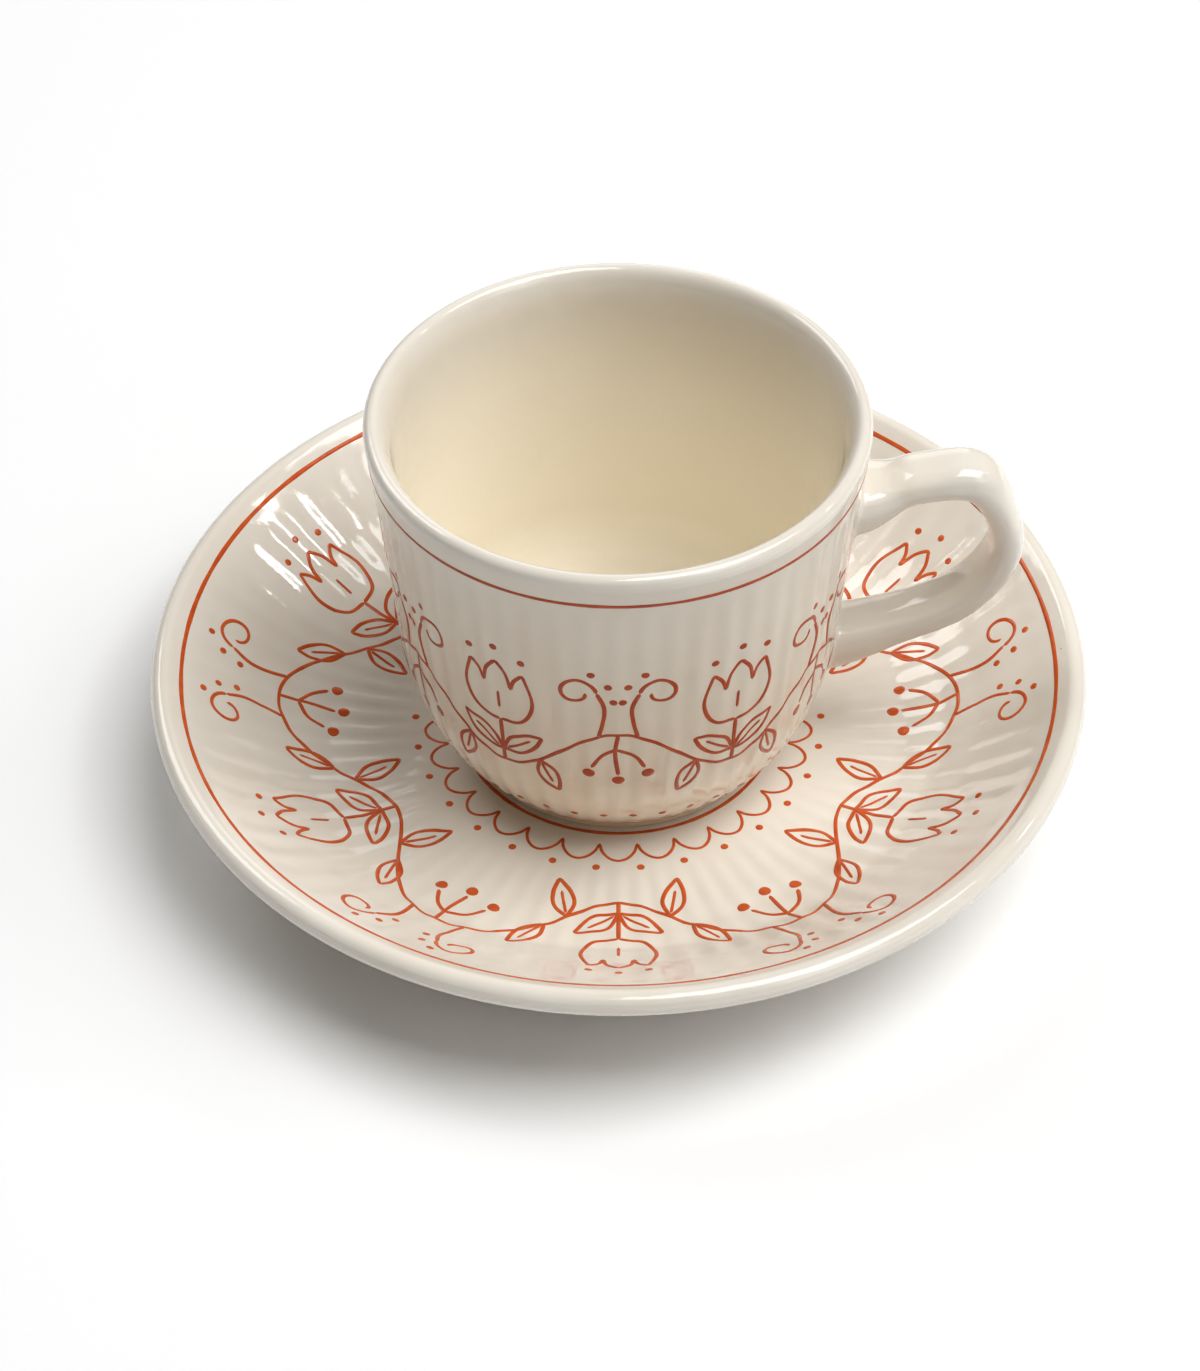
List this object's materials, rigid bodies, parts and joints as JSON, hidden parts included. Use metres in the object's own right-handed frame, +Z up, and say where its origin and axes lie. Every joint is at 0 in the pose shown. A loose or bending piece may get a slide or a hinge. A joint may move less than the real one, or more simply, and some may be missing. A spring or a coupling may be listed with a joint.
{
  "type": "coffee cup with saucer",
  "caption": "Fluted round coffee cup with a looped side handle, standing on a matching deep fluted saucer with a rounded rim; the cup lifts off to drink from.",
  "frame": {"origin": "on the saucer's axis, on the table, at the centre of the underside of the saucer's foot ring", "axes": "+Z up along the axis of cup and saucer, +X towards the handle"},
  "size_m": [0.155, 0.155, 0.0726],
  "materials": {
    "glaze": "warm cream glazed earthenware, glossy, with fine red-orange line decoration under the glaze"
  },
  "bodies": {
    "saucer": {"saucer": "glaze"},
    "cup": {"cup_body": "glaze", "cup_handle": "glaze"}
  },
  "joints": [
    {"name": "cup_lift", "type": "slide", "parent": "saucer", "child": "cup", "axis": [0, 0, 1], "range_m": [0, 0.1]}
  ]
}
